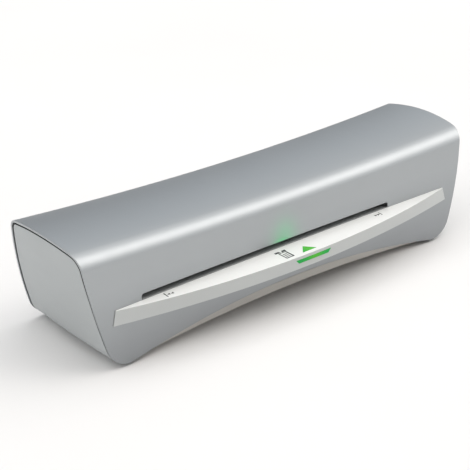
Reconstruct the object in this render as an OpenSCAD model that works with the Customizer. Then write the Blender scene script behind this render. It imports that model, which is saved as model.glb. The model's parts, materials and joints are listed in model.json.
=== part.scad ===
// Compact A4 pouch laminator: silver sleeve casing with inset end caps, bow-fronted
// entry shelf, heated plates, one sprung roller pair and a geared synchronous motor.
// X runs along the length, the pouch is fed towards +Y, Z is up, floor at z = 0.

/* [Casing] */
// Half width of the casing just above the bottom corners
half_w0 = 174.2; // [173.8:0.2:176]
// Outward lean of the ends, mm per mm of height
end_lean = 0.31; // [0.3:0.01:0.34]
// Outward bow of the ends in plan
end_bow = 2.4; // [0:0.2:3]
// Height of the crown at the ends
crown_z = 94.3; // [94:0.1:96]
// Sag of the top at mid length
top_sag = 4.8; // [0:0.2:5.2]
// Forward pull of the back wall at mid length
back_waist = 3.1; // [0:0.1:3.4]
// Rearward pull of the front wall at mid length
front_waist = 2.0; // [1:0.1:2.2]
// Rise of the lower edge of the sleeve at mid length
arch_rise = 16.4; // [14:0.2:17]
// Rise of the underside of the base at mid length
base_rise = 9.6; // [8:0.2:10]
// Wall thickness of the sleeve
wall = 2.2; // [1.8:0.1:2.3]
// Width of the shadow groove round each end cap
groove = 1.2; // [0.8:0.1:1.4]

/* [Pouch path] */
// Height of the lower lip of the slots
slot_z = 45.7; // [45.6:0.1:45.8]
// Height of the entry slot
slot_h = 4.4; // [4.3:0.1:4.5]
// Length of the entry slot
slot_w = 244.6; // [240:0.2:245]
// Sideways offset of the slot, the drive sits in the other end
slot_x = -20.2; // [-20.4:0.1:-20]

/* [Shelf] */
// Half length of the entry shelf along its top
shelf_hw = 165.5; // [160:0.5:166]
// How far the shelf bows out in front of its tips
shelf_bow = 19.1; // [15:0.1:19.2]
// Height of the front face of the shelf
shelf_h = 10.75; // [9:0.25:11]

/* [Rollers and drive] */
// Outer diameter of the silicone roller sleeves
roller_d = 19.6; // [19.2:0.1:19.7]
// Diameter of the roller shafts
shaft_d = 8; // [7:0.5:8]
// Gear module
gm = 1; // [1]
// Teeth on each roller gear
roller_teeth = 20; // [20]
// Teeth on the motor gear
motor_teeth = 16; // [16]
// Lift of the upper roller when released
lift = 1.2; // [0.8:0.1:1.2]

/* [Hidden] */

eps = 0.02;
path_z = slot_z + slot_h / 2;
sx0 = slot_x - slot_w / 2;
sx1 = slot_x + slot_w / 2;
// roller axes
ry = 30;
rzl = path_z - 10;
rzu = path_z + 10;
// side frames: inner and outer faces
fl0 = sx0 - 7.5; fl1 = fl0 + 1.5;
fr0 = sx1 + 6.4; fr1 = fr0 + 1.5;
// motor gear axis
mgy = 12.5; mgz = rzl - sqrt(18 * 18 - 17.5 * 17.5);
// release shaft axis, eccentric
rsy = 42.5; rsz = rzu + 9.25; ecc = 2.0; ecc_r = 3.5;
gear_x = fr1 + 4; gear_w = 6;

// ---- casing shape ----
corner_x = 155; corner_r = 19.6; corner_z = 2;
corner_a = 72.8;
front_y0 = -43.1;
function half_w(z) = half_w0 + end_lean * (z - 17.4) - 0.00143 * (z - 17.4) * (z - 17.4);
function bow(y) = end_bow * max(0, 1 - pow((y - 5.4) / 42, 2));
function front_y(z) = front_y0 + 0.0261 * (z - 2) + 0.000633 * (z - 2) * (z - 2);
function back_y(z) = 60.2 - 0.085 * (z - 12) - 0.00055 * (z - 12) * (z - 12);
// sag and waist: moves a point of the end outline to its place at length x
function bendp(x, y, z) = let (f = 1 - pow(x / 188, 2), u = (y + 42.5) / 102)
  [x, y + f * (front_waist * (1 - u) - back_waist * u), z - top_sag * f * max(0, z - 48) / 44];
function panel_y(x, z) = bendp(x, front_y(z), 0)[1];
function rear_y(x, z) = bendp(x, back_y(z), 0)[1];

sh_c = [-23.4, crown_z - 16.7]; sh_r = 13.7;      // shoulder arc
cr_c = [8.2, crown_z - 186]; cr_r = 186;          // crown arc
bk_c = [43.0, crown_z - 12.1]; bk_r = 8.6;        // back corner arc
function arcp(c, r, a) = [c[0] + r * cos(a), c[1] + r * sin(a)];
zft = sh_c[1] + sh_r * sin(173); zbt = bk_c[1] + bk_r * sin(9.3);
// outline of the end, offset inwards by d, from a lower height zl at front and back
function outline(zl, d) = concat(
  [for (i = [0:7]) let (z = zl + (zft - zl) * i / 7) [front_y(z) + d, z]],
  [for (i = [1:6]) arcp(sh_c, sh_r - d, 173 - 72.6 * i / 6)],
  [for (i = [1:7]) arcp(cr_c, cr_r - d, 100.4 - 21.6 * i / 7)],
  [for (i = [1:5]) arcp(bk_c, bk_r - d, 78.7 - 69.4 * i / 5)],
  [for (i = [1:6]) let (z = zbt + (zl - zbt) * i / 6) [back_y(z) - d, z]]);

// stations along half the length: lower edge of the sleeve
half_low = concat(
  [for (x = [0, 22, 46, 70, 94, 116, 136, 155]) [x, corner_z + arch_rise * (1 - pow(x / corner_x, 2))]],
  [for (k = [1:6]) let (a = corner_a * k / 6) [corner_x + corner_r * sin(a), corner_z + corner_r * (1 - cos(a))]]);
function stn(p) = min(1, abs(p[0]) / half_w(p[1]));
low = concat([for (i = [len(half_low) - 1:-1:1]) [-half_low[i][0], half_low[i][1]]], half_low);
function sleeve_grid(d) = [for (j = [0:len(low) - 1]) let (p = low[j], sg = p[0] < 0 ? -1 : 1,
    s = (j == 0 || j == len(low) - 1) ? 1 : stn(p))
  [for (q = outline(p[1], d)) bendp(sg * s * (half_w(q[1]) + bow(q[0])), q[0], q[1])]];

// closed sheet between two grids of points of the same size
module thick(o, i, flip = false) {
  n = len(o); m = len(o[0]);
  function a(j, k) = j * m + k;
  function b(j, k) = n * m + j * m + k;
  quads = concat(
    [for (j = [0:n - 2]) for (k = [0:m - 2]) [a(j, k), a(j + 1, k), a(j + 1, k + 1), a(j, k + 1)]],
    [for (j = [0:n - 2]) for (k = [0:m - 2]) [b(j, k), b(j, k + 1), b(j + 1, k + 1), b(j + 1, k)]],
    [for (j = [0:n - 2]) [a(j + 1, 0), a(j, 0), b(j, 0), b(j + 1, 0)]],
    [for (j = [0:n - 2]) [a(j, m - 1), a(j + 1, m - 1), b(j + 1, m - 1), b(j, m - 1)]],
    [for (k = [0:m - 2]) [a(0, k), a(0, k + 1), b(0, k + 1), b(0, k)]],
    [for (k = [0:m - 2]) [a(n - 1, k + 1), a(n - 1, k), b(n - 1, k), b(n - 1, k + 1)]]);
  tris = [for (q = quads) each [[q[0], q[1], q[2]], [q[0], q[2], q[3]]]];
  polyhedron(points = concat([for (r = o) each r], [for (r = i) each r]),
    faces = [for (t = tris) flip ? [t[2], t[1], t[0]] : t]);
}

// closed loft through rings of points, all rings the same length
module loft(r, flip = false) {
  n = len(r); m = len(r[0]);
  quads = [for (j = [0:n - 2]) for (k = [0:m - 1]) let (l = (k + 1) % m)
    [j * m + k, (j + 1) * m + k, (j + 1) * m + l, j * m + l]];
  tris = concat([for (q = quads) each [[q[0], q[1], q[2]], [q[0], q[2], q[3]]]],
    [for (k = [1:m - 2]) [0, k, k + 1]],
    [for (k = [1:m - 2]) [(n - 1) * m, (n - 1) * m + k + 1, (n - 1) * m + k]]);
  polyhedron(points = [for (q = r) each q], faces = [for (t = tris) flip ? [t[2], t[1], t[0]] : t]);
}

module box(a, b) translate(a) cube([b[0] - a[0], b[1] - a[1], b[2] - a[2]]);
module xcyl(p, r, l, fn = 48) translate(p) rotate([0, 90, 0]) cylinder(r = r, h = l, $fn = fn);
module ycyl(p, r, l, fn = 48) translate(p) rotate([-90, 0, 0]) cylinder(r = r, h = l, $fn = fn);
module zcyl(p, r, l, fn = 48) translate(p) cylinder(r = r, h = l, $fn = fn);
module xtube(p, ro, ri, l, fn = 48) translate(p) rotate([0, 90, 0]) difference() {
  cylinder(r = ro, h = l, $fn = fn); translate([0, 0, -1]) cylinder(r = ri, h = l + 2, $fn = fn); }

// spur gear in the Y-Z plane, tooth centred on angle ph
module gear_x_axis(p, n, w, ph, bore) {
  rp = gm * n / 2; ra = rp + 0.85 * gm; rr = rp - 1.2 * gm; pa = 360 / n;
  translate(p) rotate([90, 0, 90]) linear_extrude(w) difference() {
    polygon([for (i = [0:n - 1]) each [for (v = [[rr, -0.36], [rp, -0.225], [ra, -0.11], [ra, 0.11], [rp, 0.225], [rr, 0.36]])
      [v[0] * cos(ph + pa * (i + v[1])), v[0] * sin(ph + pa * (i + v[1]))]]]);
    circle(r = bore, $fn = 48);
  }
}

module top_cover() color([0.62, 0.64, 0.67]) difference() {
  thick(sleeve_grid(0), sleeve_grid(wall), flip = true);
  // entry slot with small round upper corners
  box([sx0, -50, slot_z], [sx1, -30, slot_z + slot_h - 1.6]);
  box([sx0 + 1.6, -50, slot_z], [sx1 - 1.6, -30, slot_z + slot_h]);
  for (x = [sx0 + 1.6, sx1 - 1.6]) ycyl([x, -50, slot_z + slot_h - 1.6], 1.6, 20, 24);
  // exit slot, lever slot, switch opening and gland hole in the back wall
  box([sx0 - 2.5, 44, slot_z - 2.1], [sx1 + 2.5, 70, slot_z + slot_h + 2.1]);
  box([119.5, 44, 55.5], [130.5, 70, 71.5]);
  translate([148, 53, 66]) rotate([8, 0, 0]) cube([13.2, 20, 19.6], center = true);
  ycyl([150, 44, 26], 6.3, 30);
}

// arch outline between two heights
function arch(rise, ax, z0, hw, n = 32) = [for (i = [0:n]) let (x = -hw + 2 * hw * i / n) [x, z0 + rise * (1 - pow(x / ax, 2))]];
function rev(v) = [for (i = [len(v) - 1:-1:0]) v[i]];
module band(lo, hi, y0, y1) translate([0, y1, 0]) rotate([90, 0, 0]) linear_extrude(y1 - y0) polygon(concat(lo, rev(hi)));

module base_tray() color([0.6, 0.59, 0.57]) {
  b0 = arch(base_rise, 160, 2, 154.4);
  difference() {
    union() {
      band(b0, arch(base_rise, 160, 4.4, 154.4), -37.6, 53.8);
      band(arch(base_rise, 160, 2, 144), arch(arch_rise, corner_x, 1.7, 144), -40.2, -37.6);
      band(arch(base_rise, 160, 2, 144), arch(arch_rise, corner_x, 1.7, 144), 53.8, 56.2);
      band(arch(base_rise, 160, 3, 148), [[-148, 24], [148, 24]], -37.4, -35.4);
      band(arch(base_rise, 160, 3, 136), [[-136, 24], [136, 24]], 51.6, 53.4);
      for (x = [-140, 140]) for (y = [-27, 44]) zcyl([x, y, 3.3], 8, 6, 32);
    }
    // cooling slots under the heater plates
    for (i = [0:8]) box([-100 + 20 * i, -14, 0], [-96 + 20 * i, 16, 20]);
    // foot screw holes
    for (x = [-140, 140]) for (y = [-27, 44]) zcyl([x, y, 0], 1.7, 20, 24);
  }
}

// end cap: limits of the outline at height z, offset inwards by d
function yl(z, d) = z <= zft ? front_y(z) + d
  : z < sh_c[1] + (sh_r - d) * sin(100.4) ? sh_c[0] - sqrt(max(0, pow(sh_r - d, 2) - pow(z - sh_c[1], 2)))
  : cr_c[0] - sqrt(max(0, pow(cr_r - d, 2) - pow(z - cr_c[1], 2)));
function yr(z, d) = z <= zbt ? back_y(z) - d
  : z < bk_c[1] + (bk_r - d) * sin(78.7) ? bk_c[0] + sqrt(max(0, pow(bk_r - d, 2) - pow(z - bk_c[1], 2)))
  : cr_c[0] + sqrt(max(0, pow(cr_r - d, 2) - pow(z - cr_c[1], 2)));
cap_d = wall + groove;
cap_top = cr_c[1] + cr_r - cap_d;
// stations down the cap: [x without bow, z, inward x, inward z]
cap_stn = concat(
  [for (z = [cap_top - 0.02, cap_top - 0.6, cap_top - 1.6, cap_top - 2.6, cap_top - 3.6, 86, 83.5, 80, 74, 66, 57, 48, 39, 30, 22]) [half_w(z), z, -1, 0.3]],
  [for (k = [6:-1:0]) let (a = corner_a * k / 6) [corner_x + corner_r * sin(a), corner_z + corner_r * (1 - cos(a)), -sin(a), cos(a)]]);
function cap_grid(t, sg) = [for (s = cap_stn) [for (k = [0:12])
  let (w = (1 - cos(15 * k)) / 2, y = yl(s[1], cap_d) * (1 - w) + yr(s[1], cap_d) * w,
       fb = min(1, (s[1] - 2) / 14))
  bendp(sg * (s[0] + bow(y) * fb - 0.2 + t * s[2]), y, s[1] + t * s[3] * 0.98)]];
module end_cap(sg) color([0.7, 0.71, 0.72]) thick(cap_grid(0, sg), cap_grid(2.4, sg), flip = sg > 0);
module left_end_cap() end_cap(-1);
module right_end_cap() end_cap(1);

// entry shelf: bowed in plan, flat on top, slightly undercut front face
function shelf_front(t) = -41.1 - shelf_bow * (1 - t * t) - 1.71 * t * t * (1 - t * t);
function shelf_ring(t) = let (xt = shelf_hw * t, xb = (shelf_hw + 3) * t, zb = slot_z - shelf_h,
    fb = -42.0 - (shelf_bow - 1.9) * (1 - t * t))
  [[xt, shelf_front(t) + 0.5, slot_z], [xt, shelf_front(t), slot_z - 0.5], [xb, fb, zb + 0.4], [xb, fb + 0.4, zb],
   [xb, panel_y(xb, zb) - 0.04, zb], [xt, panel_y(xt, slot_z) - 0.04, slot_z]];
bar_pts = [[-16, 43], [-13.1, 39.9], [16.7, 39.9], [19.4, 43]];
arrow_pts = [[-6.4, -56.4], [7.9, -56.4], [0.9, -48.2]];
module entry_shelf() color([0.9, 0.91, 0.9]) difference() {
  loft([for (t = [-1, -0.97, -0.9, -0.8, -0.68, -0.55, -0.42, -0.28, -0.14, 0, 0.14, 0.28, 0.42, 0.55, 0.68, 0.8, 0.9, 0.97, 1]) shelf_ring(t)]);
  translate([0, -56.5, 0]) rotate([90, 0, 0]) linear_extrude(6) polygon(bar_pts);
  translate([0, 0, slot_z - 1]) linear_extrude(2) polygon(arrow_pts);
}
module light_bar() color([0.1, 0.7, 0.3]) translate([0, -56.52, 0]) rotate([90, 0, 0]) linear_extrude(3.6)
  polygon([[-15.9, 42.95], [-13.05, 39.95], [16.65, 39.95], [19.3, 42.95]]);
module feed_arrow() color([0.2, 0.7, 0.2]) translate([0, 0, slot_z - 0.98]) linear_extrude(1)
  polygon([[-6.3, -56.35], [7.8, -56.35], [0.9, -48.3]]);
// printed marks: pouch pictogram and the two width ticks
module feed_symbols() color([0.25, 0.27, 0.28]) translate([0, 0, slot_z + eps]) {
  translate([0, 0, 0]) linear_extrude(0.12) difference() {
    translate([-22.4, -56.4]) square([8.2, 9.6]); translate([-21.8, -55.8]) square([7, 8.4]); }
  linear_extrude(0.12) for (i = [0:3]) translate([-20.8, -54.6 + 1.5 * i]) square([5, 0.5]);
  linear_extrude(0.12) polygon([[-18.3, -42.9], [-21.2, -45.9], [-15.4, -45.9]]);
  linear_extrude(0.12) for (x = [-123.6, 90.4]) translate([x, -44.6]) square([0.6, 3.6]);
}

// slot linings: two lips joined by cheeks
module guide(y0, y1, z0, z1, t) difference() {
  box([sx0 - 2, y0, z0 - t], [sx1 + 2, y1, z1 + t]);
  box([sx0 - 0.1, y0 - 1, z0], [sx1 + 0.1, y1 + 1, z1]);
}
module entry_guide() color([0.45, 0.46, 0.47]) difference() {
  guide(-35.9, -25.6, slot_z - 0.1, slot_z + slot_h + 0.1, 1.8);
  box([-7, -35, slot_z - 1.1], [3, -32.5, slot_z]);
}
// exit lining: two lips with a cheek at each end
module exit_guide() color([0.3, 0.31, 0.32]) {
  z0 = slot_z - 0.1; z1 = slot_z + slot_h + 0.1;
  box([sx0 - 2, 42.2, z0 - 1.6], [sx1 + 2, 53, z0]);
  box([sx0 - 2, 42.2, z1], [sx1 + 2, 53, z1 + 1.6]);
  for (x = [sx0 - 2, sx1 + 0.1]) box([x, 42.2, z0 + eps], [x + 1.9, 53, z1 - eps]);
}
module pouch_sensor() color([0.08, 0.08, 0.09]) box([-6.9, -34.95, slot_z - 1.08], [2.9, -32.55, slot_z - 0.2]);
module led_board() color([0.1, 0.4, 0.2]) difference() {
  box([-24, -34.6, 28], [26, -33.2, 42.8]);
  for (x = [-20, 22]) ycyl([x, -40, 32], 1.6, 10, 24);
}
module status_led() color([0.3, 0.9, 0.4]) {
  box([-13, -33.4, 52.15], [-8.4, -31.6, 57]);
  ycyl([-10.7, -35.2, 54.7], 1.9, 1.8, 32);
}

// internal frame
module frame_plate(x0, x1) difference() {
  box([x0, -29, 12.5], [x1, 46.5, 81]);
  box([x0 - 1, -30, 70], [x1 + 1, -20, 90]);
  // vertical slot for the sliding bearing block
  box([x0 - 1, ry - 6, 49], [x1 + 1, ry + 6, 77]);
  xcyl([x0 - 1, ry, rzl], 6.02, 4);
  xcyl([x0 - 1, rsy, rsz], 2.55, 4);
  // window for the pouch path in front of the rollers
  xcyl([x0 - 1, -4, 24], 7, 4, 32);
}
module left_side_frame() color([0.75, 0.76, 0.78]) difference() {
  frame_plate(fl0, fl1); rod_holes(fl0);
}
module right_side_frame() color([0.75, 0.76, 0.78]) difference() {
  frame_plate(fr0, fr1); rod_holes(fr0);
  xcyl([fr0 - 1, mgy, mgz], 3.2, 4);
}
rods = [[-22, 62], [40, 19], [-22, 19]];
module rod_holes(x) for (r = rods) xcyl([x - 1, r[0], r[1]], 1.6, 4, 24);
module tie_rods() color([0.8, 0.8, 0.82]) for (r = rods) difference() {
  xcyl([fl1, r[0], r[1]], 3, fr0 - fl1, 32);
  for (x = [fl1 - 1, fr0 - 7]) xcyl([x, r[0], r[1]], 1.2, 8, 24);
}

// heater plates with ribs, strip elements and safety parts
hx0 = sx0 - 3; hx1 = sx1 + 3;
module heater_plate(s) {
  z0 = path_z + s * 1.4;
  module slab(a, b) box([hx0, a[0], min(z0 + s * a[1], z0 + s * b[1])], [hx1, b[0], max(z0 + s * a[1], z0 + s * b[1])]);
  slab([-22, 0], [16, 4]);
  slab([-22, 3.9], [-19.5, 8.4]);
  slab([13.5, 3.9], [16, 8.4]);
  for (y = [-3.6, 2.6]) slab([y, 3.9], [y + 1.4, 9.4]);
  // turned-away lead-in edge
  translate([hx0, 0, 0]) rotate([90, 0, 90]) linear_extrude(hx1 - hx0)
    polygon([[-21.2, z0 + s * 0.3], [-21.2, z0 + s * 3.7], [-24.4, z0 + s * 3.7], [-24.4, z0 + s * 2.2], [-22.6, z0 + s * 0.3]]);
}
module lower_heater_plate() color([0.78, 0.79, 0.8]) heater_plate(-1);
module upper_heater_plate() color([0.78, 0.79, 0.8]) heater_plate(1);
module heater_strip(s) { z = path_z + s * 6.5; for (y = [-18.5, 4.9]) box([hx0 + 6, y, z - 1], [hx1 - 6, y + (y < 0 ? 14 : 7.8), z + 1]); }
module lower_heater_element() color([0.65, 0.5, 0.3]) heater_strip(-1);
module upper_heater_element() color([0.65, 0.5, 0.3]) heater_strip(1);
module thermostat() color([0.85, 0.83, 0.78]) {
  z = path_z + 7.52;
  zcyl([-60, -11.5, z], 6, 3.4); zcyl([-60, -11.5, z + 3.4], 7.2, 1, 48);
  for (x = [-66.6, -56.4]) box([x, -12.7, z + 4.38], [x + 3, -10.3, z + 8]);
}
module thermal_fuse() color([0.85, 0.8, 0.6]) {
  xcyl([20, 9, path_z + 9.6], 2, 12, 32); xcyl([12, 9, path_z + 9.6], 0.5, 8.01, 16); xcyl([31.99, 9, path_z + 9.6], 0.5, 8, 16);
}
module heat_shield() color([0.7, 0.71, 0.73]) difference() {
  union() {
    box([fl1 + 0.5, -26, 66.5], [fr0 - 0.5, 17, 67.3]);
    box([fl1 + 0.5, -26.8, 56], [fr0 - 0.5, -26, 67.3]);
  }
  for (i = [0:10]) box([-120 + 20 * i, -14, 66], [-110 + 20 * i, -11, 68]);
}

// rollers
module bush(x, sg) {
  xtube([x, ry, rzl], 6.0, shaft_d / 2 + 0.05, 1.5);
  xtube([sg > 0 ? x + 1.5 : x - 1.5, ry, rzl], 7.6, shaft_d / 2 + 0.05, 1.5);
}
module lower_bushes() color([0.85, 0.75, 0.45]) { bush(fl0, -1); bush(fr0, -1); }
module lower_roller_shaft() color([0.82, 0.83, 0.85]) difference() {
  xcyl([fl0 - 6, ry, rzl], shaft_d / 2, gear_x + gear_w + 2.5 - fl0 + 6);
  xtube([fl0 - 4, ry, rzl], 6, 3.2, 0.9); xtube([gear_x + gear_w + 0.6, ry, rzl], 6, 3.2, 0.9);
}
module upper_roller_shaft() color([0.82, 0.83, 0.85]) difference() {
  xcyl([fl0 - 6, ry, rzu], shaft_d / 2, gear_x + gear_w + 2.5 - fl0 + 6);
  xtube([fl0 - 4, ry, rzu], 6, 3.2, 0.9); xtube([gear_x + gear_w + 0.6, ry, rzu], 6, 3.2, 0.9);
}
module lower_roller_sleeve() color([0.75, 0.3, 0.2]) xtube([sx0 + 1.5, ry, rzl], roller_d / 2, shaft_d / 2 + eps, slot_w - 3, 72);
module upper_roller_sleeve() color([0.75, 0.3, 0.2]) xtube([sx0 + 1.5, ry, rzu], roller_d / 2, shaft_d / 2 + eps, slot_w - 3, 72);
module lower_roller_gear() color([0.9, 0.9, 0.86]) gear_x_axis([gear_x, ry, rzl], roller_teeth, gear_w, 90, shaft_d / 2 + eps);
module upper_roller_gear() color([0.9, 0.9, 0.86]) gear_x_axis([gear_x, ry, rzu], roller_teeth, gear_w, -90 + 180 / roller_teeth, shaft_d / 2 + eps);

// sliding bearing blocks, lift bar, springs
module block(x0, x1, sg) difference() {
  union() {
    box([x0, ry - 5.6, rzu - 7], [x1, ry + 5.6, rzu + 7]);
    if (sg < 0) box([fl0 - 2.4, ry - 8, rzu - 7], [fl0 - 0.4, ry + 8, rzu + 7]);
    else box([fr0 - 2.4, ry - 8, rzu - 7], [fr0 - 0.4, ry + 8, rzu + 7]);
  }
  xcyl([x0 - 5, ry, rzu], shaft_d / 2 + 0.05, 30);
}
module bearing_blocks() color([0.3, 0.3, 0.33]) {
  block(fl0 - 2.4, fl1 + 4.2, -1);
  block(fr0 - 4.2, fr1 + 1.4, 1);
}
module lift_bar() color([0.7, 0.72, 0.75]) difference() {
  union() {
    box([fl1 + 4.2, 25, 71.2], [fr0 - 4.2, 44, 72.7]);
    box([fl1 + 4.22, 26, rzu + 3], [fl1 + 5.4, 34, 71.3]);
    box([fr0 - 5.4, 26, rzu + 3], [fr0 - 4.22, 34, 71.3]);
  }
  for (x = [fl1 + 3, fr0 - 7]) xcyl([x, ry, rzu], 4.6, 4);
  for (i = [0:5]) zcyl([-120 + 40 * i, 34, 70], 4, 4, 32);
}
spr_z0 = rzu + 7.05; spr_z1 = 75.3;
module helix(p, r, w, h, turns) {
  ns = 14 * turns; nr = 6;
  c = [for (i = [0:ns]) [r * cos(360 * i / 14), r * sin(360 * i / 14), w + (h - 2 * w) * i / ns]];
  translate(p) loft([for (i = [0:ns]) let (a = 360 * i / 14)
    [for (k = [0:nr - 1]) let (b = 60 * k) [c[i][0] + w * cos(b) * cos(a), c[i][1] + w * cos(b) * sin(a), c[i][2] + w * sin(b)]]], flip = true);
}
spring_x = [fl0 + 0.75, fr0 + 0.75];
module pressure_springs() color([0.75, 0.76, 0.78]) for (x = spring_x) helix([x, ry, spr_z0], 3.6, 0.5, spr_z1 - spr_z0, 5);
module spring_seats() color([0.3, 0.3, 0.33]) for (x = spring_x) {
  zcyl([x, ry, spr_z1 + 0.05], 5.6, 1.5); zcyl([x, ry, spr_z1 - 3], 2.6, 3.1);
  box([x - 3.5, ry - 5, 76.8], [x - 0.85, ry + 5, 79]);
}

// jam release: eccentric shaft under the rear edge of the lift bar, lever through the back
module release_shaft() color([0.8, 0.81, 0.83]) {
  xcyl([fl0 - 3, rsy, rsz], 2.5, 126 - fl0 + 3, 48);
  for (x = [-128, 88]) xcyl([x, rsy - ecc, rsz], ecc_r, 7, 48);
}
module release_lever() color([0.35, 0.36, 0.38]) difference() {
  union() {
    xcyl([121, rsy, rsz], 5, 8, 48);
    box([121.5, rsy, rsz - 2], [128.5, 55, rsz + 2]);
    xcyl([120.5, 55.2, rsz], 3, 9, 32);
  }
  xcyl([120, rsy, rsz], 2.52, 12);
}

// drive
function mesh_phase(ph1, n1, a, n2) = let (p1 = 360 / n1, d = (a - ph1) / p1 - round((a - ph1) / p1)) a + 180 + d * p1 * n1 / n2 + 180 / n2;
mesh_a = atan2(mgz - rzl, mgy - ry);
module motor_gear() color([0.9, 0.88, 0.8]) gear_x_axis([gear_x, mgy, mgz], motor_teeth, gear_w, mesh_phase(90, roller_teeth, mesh_a, motor_teeth), 2.5 + eps);
module motor_shaft() color([0.8, 0.81, 0.83]) xcyl([gear_x - 2, mgy, mgz], 2.5, 15.5);
mb = fr1 + 13.4;
module gear_motor() color([0.55, 0.57, 0.6]) difference() {
  union() { xcyl([mb + 1.6, 4, 31], 20, 18, 72); xcyl([mb + 19.6, 4, 31], 16, 2.4, 48); box([mb + 5, -6, 50], [mb + 15, 14, 53.4]); }
  xcyl([mb, mgy, mgz], 2.57, 10);
}
stand = [[-15, 15], [-14, 52], [22, 14.5]];
module motor_bracket() color([0.72, 0.74, 0.76]) difference() {
  box([mb, -21, 11.6], [mb + 1.5, 27, 57]);
  xcyl([mb - 1, mgy, mgz], 4, 4);
  for (s = stand) xcyl([mb - 1, s[0], s[1]], 1.6, 4, 24);
}
module bracket_standoffs() color([0.8, 0.78, 0.6]) for (s = stand) difference() {
  xcyl([fr1, s[0], s[1]], 3, mb - fr1, 32); xcyl([mb - 6, s[0], s[1]], 1.2, 7, 24);
}

// electrics
module control_board() color([0.1, 0.38, 0.2]) difference() {
  box([118, -33, 15], [165, -31.4, 62]);
  for (x = [122, 161]) for (z = [19, 58]) ycyl([x, -35, z], 1.6, 6, 24);
}
module board_components() color([0.2, 0.2, 0.22]) {
  box([128, -31.38, 24], [142, -23.5, 36]);
  ycyl([152, -31.38, 28], 5, 9, 32); ycyl([152, -31.38, 42], 4, 8, 32);
  box([126, -31.38, 42], [138, -24.5, 50]);
  box([142, -31.38, 50], [158, -25, 56]);
}
rk = [148, rear_y(148, 66) - 0.3, 66 - 0.1];
module power_switch_body() color([0.1, 0.1, 0.11]) difference() {
  translate([148, rear_y(148, 66), 66]) rotate([8, 0, 0]) difference() {
    union() { translate([0, -6.9, 0]) cube([12.6, 15, 19], center = true); translate([0, 1.35, 0]) cube([15.4, 1.7, 22], center = true); }
    translate([0, 1, 0]) cube([10.2, 9, 16.4], center = true);
  }
  xcyl([rk[0] - 6, rk[1], rk[2]], 1.08, 12, 32);
}
// rocker on two pivot stubs
module power_rocker() color([0.12, 0.12, 0.13]) {
  translate(rk) rotate([8 + 7, 0, 0]) rotate([90, 0, 90]) translate([0, 0, -4.8]) linear_extrude(9.6)
    polygon([[-2.2, -4], [2.6, -7.4], [1.9, 0], [2.6, 7.4], [-2.2, 4]]);
  xcyl([rk[0] - 5.9, rk[1], rk[2]], 1, 11.8, 32);
}
module cord_gland() color([0.09, 0.09, 0.1]) translate([150, rear_y(150, 26), 26]) rotate([-90, 0, 0]) difference() {
  union() { translate([0, 0, -6]) cylinder(r = 6, h = 7, $fn = 48); translate([0, 0, 0.9]) cylinder(r = 8.6, h = 1.5, $fn = 48); translate([0, 0, -5.6]) cylinder(r = 8, h = 1.8, $fn = 48); }
  translate([0, 0, -8]) cylinder(r = 3.7, h = 14, $fn = 48);
}

// feet and fasteners
foot_xy = [for (x = [-140, 140]) for (y = [-27, 44]) [x, y]];
module rubber_feet() color([0.12, 0.12, 0.12]) for (p = foot_xy) difference() {
  zcyl([p[0], p[1], 0], 6.5, 3.28); zcyl([p[0], p[1], -1], 3.2, 2.66, 32); zcyl([p[0], p[1], 0], 1.7, 5, 24);
}
module base_screws() color([0.6, 0.6, 0.62]) for (p = foot_xy) {
  zcyl([p[0], p[1], 1.62], 1.5, 12, 24); zcyl([p[0], p[1], 0.7], 2.9, 0.92, 32);
}
module frame_screws() color([0.6, 0.6, 0.62]) {
  for (r = rods) {
    xcyl([fl0 - 1.8, r[0], r[1]], 2.8, 1.78, 32); xcyl([fl0 - 0.05, r[0], r[1]], 1.15, 7, 24);
    xcyl([fr1 + 0.02, r[0], r[1]], 2.8, 1.78, 32); xcyl([fr1 - 7, r[0], r[1]], 1.15, 7.05, 24);
  }
  for (s = stand) { xcyl([mb + 1.52, s[0], s[1]], 2.6, 1.6, 32); xcyl([mb - 5, s[0], s[1]], 1.15, 6.55, 24); }
}
module clip(x, z) xtube([x, ry, z], 5.4, 3.3, 0.8, 32);
module retaining_clips() color([0.4, 0.4, 0.42]) { clip(fl0 - 3.95, rzl); clip(gear_x + gear_w + 0.65, rzl); }

top_cover();
base_tray();
left_end_cap();
right_end_cap();
entry_shelf();
light_bar();
feed_arrow();
feed_symbols();
entry_guide();
exit_guide();
pouch_sensor();
status_led();
led_board();
left_side_frame();
right_side_frame();
tie_rods();
lower_heater_plate();
upper_heater_plate();
lower_heater_element();
upper_heater_element();
thermostat();
thermal_fuse();
heat_shield();
lower_bushes();
lower_roller_shaft();
lower_roller_sleeve();
lower_roller_gear();
upper_roller_shaft();
upper_roller_sleeve();
upper_roller_gear();
bearing_blocks();
lift_bar();
pressure_springs();
spring_seats();
release_shaft();
release_lever();
motor_gear();
motor_shaft();
gear_motor();
motor_bracket();
bracket_standoffs();
control_board();
board_components();
power_switch_body();
power_rocker();
cord_gland();
rubber_feet();
base_screws();
frame_screws();
retaining_clips();
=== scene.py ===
import json
import math

import bmesh
import bpy
import numpy as np
from mathutils import Matrix, Vector


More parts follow.
